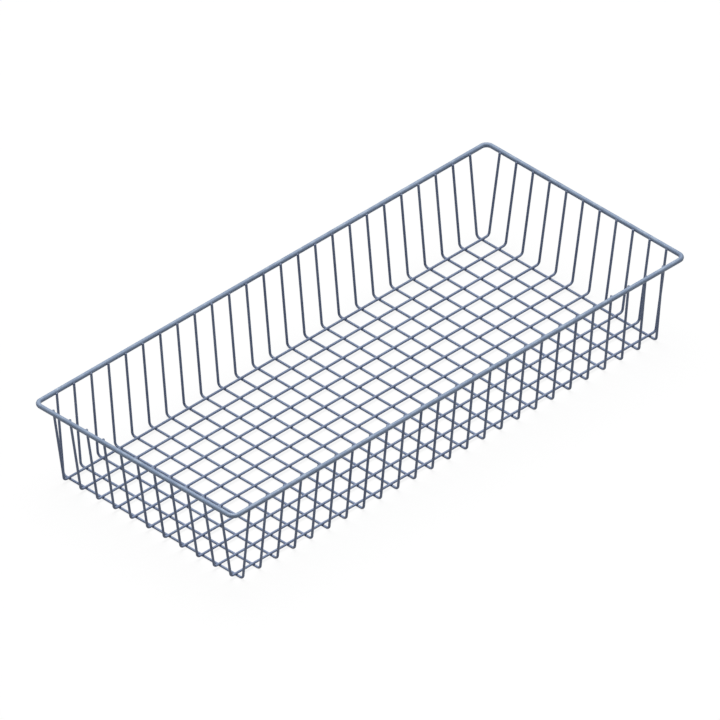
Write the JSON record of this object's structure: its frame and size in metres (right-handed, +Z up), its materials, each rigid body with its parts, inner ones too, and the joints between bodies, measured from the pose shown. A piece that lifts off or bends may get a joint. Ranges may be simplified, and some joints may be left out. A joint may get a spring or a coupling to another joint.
{
  "type": "wire locker basket",
  "caption": "Shallow open-top basket of welded round wire with leaning walls and a heavy rod rim that runs on a locker's side rails.",
  "frame": {"origin": "on the surface the basket stands on, under the middle of the floor", "axes": "+X along the basket's length, +Y across it, +Z up; the front of the pictured view looks towards +X and +Y from above"},
  "size_m": [0.655, 0.29, 0.1],
  "materials": {
    "rim_coating": "smooth satin slate-blue coating on a heavy steel rod",
    "wire_coating": "smooth satin slate-blue coating on steel wire"
  },
  "bodies": {
    "root": {"rim_rod": "rim_coating", "cross_wire_01": "wire_coating", "cross_wire_02": "wire_coating", "cross_wire_03": "wire_coating", "cross_wire_04": "wire_coating", "cross_wire_05": "wire_coating", "cross_wire_06": "wire_coating", "cross_wire_07": "wire_coating", "cross_wire_08": "wire_coating", "cross_wire_09": "wire_coating", "cross_wire_10": "wire_coating", "cross_wire_11": "wire_coating", "cross_wire_12": "wire_coating", "cross_wire_13": "wire_coating", "cross_wire_14": "wire_coating", "cross_wire_15": "wire_coating", "cross_wire_16": "wire_coating", "cross_wire_17": "wire_coating", "cross_wire_18": "wire_coating", "cross_wire_19": "wire_coating", "cross_wire_20": "wire_coating", "cross_wire_21": "wire_coating", "cross_wire_22": "wire_coating", "cross_wire_23": "wire_coating", "cross_wire_24": "wire_coating", "cross_wire_25": "wire_coating", "long_wire_01": "wire_coating", "long_wire_02": "wire_coating", "long_wire_03": "wire_coating", "long_wire_04": "wire_coating", "long_wire_05": "wire_coating", "long_wire_06": "wire_coating", "long_wire_07": "wire_coating", "long_wire_08": "wire_coating", "long_wire_09": "wire_coating", "long_wire_10": "wire_coating", "long_wire_11": "wire_coating"}
  },
  "joints": []
}
